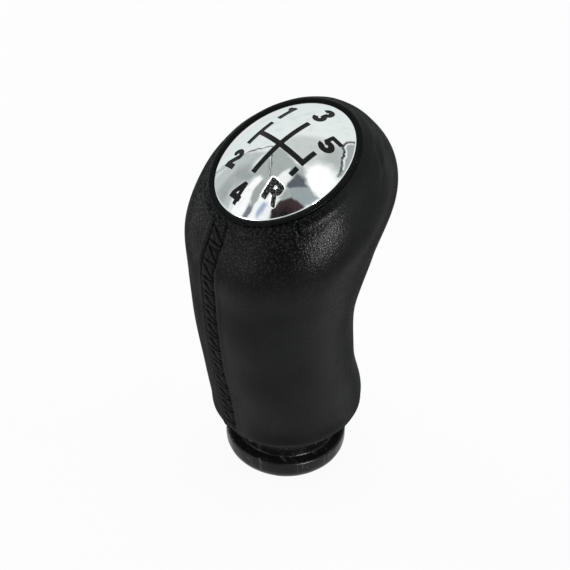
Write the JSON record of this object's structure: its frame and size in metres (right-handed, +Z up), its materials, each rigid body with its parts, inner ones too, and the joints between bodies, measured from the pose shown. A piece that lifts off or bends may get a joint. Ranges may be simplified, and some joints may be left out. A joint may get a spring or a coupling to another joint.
{
  "type": "gear shift knob",
  "caption": "Gear lever knob with a sewn leather grip, a leaning oval chrome cap with a plain shift pattern, and a collar that holds the lever's gaiter.",
  "frame": {"origin": "mouth of the lever bore, in the middle of the collar's bottom face", "axes": "+Z up the lever's axis, +Y to the front of the car, +X to the right of the car"},
  "size_m": [0.0464, 0.0519, 0.1019],
  "materials": {
    "leather": "smooth black leather with a fine grain, slightly worn",
    "thread": "black twisted thread",
    "core_plastic": "moulded, unpainted",
    "bezel_plastic": "polished black",
    "chrome": "bright plating, engraved gate lines filled with black",
    "collar_plastic": "moulded black, scuffed",
    "bush_plastic": "moulded, natural grey",
    "spring_steel": "drawn wire"
  },
  "bodies": {
    "root": {"leather_cover": "leather", "seam_thread": "thread", "grip_core": "core_plastic", "cap_bezel": "bezel_plastic", "shift_cap": "chrome", "gaiter_collar": "collar_plastic", "lever_bush": "bush_plastic", "spring_ring": "spring_steel"}
  },
  "joints": []
}
